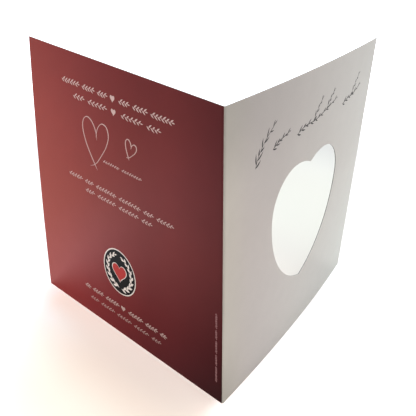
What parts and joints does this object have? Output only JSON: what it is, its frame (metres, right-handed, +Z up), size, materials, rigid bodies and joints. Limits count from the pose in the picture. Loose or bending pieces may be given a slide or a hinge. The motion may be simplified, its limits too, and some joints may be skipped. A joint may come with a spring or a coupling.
{
  "type": "greeting card",
  "caption": "Square folded greeting card standing half open, with a heart cut through its front panel.",
  "frame": {"origin": "foot of the fold, where the two outer faces would meet in a sharp corner", "axes": "+Z up along the fold; +X along the front panel's chord at half height, from the fold to its free edge; the front panel's outer face looks towards -Y and the back panel swings away on the +Y side"},
  "size_m": [0.1478, 0.1498, 0.148],
  "materials": {
    "board": "satin"
  },
  "bodies": {
    "root": {"folded_card": "board"}
  },
  "joints": []
}
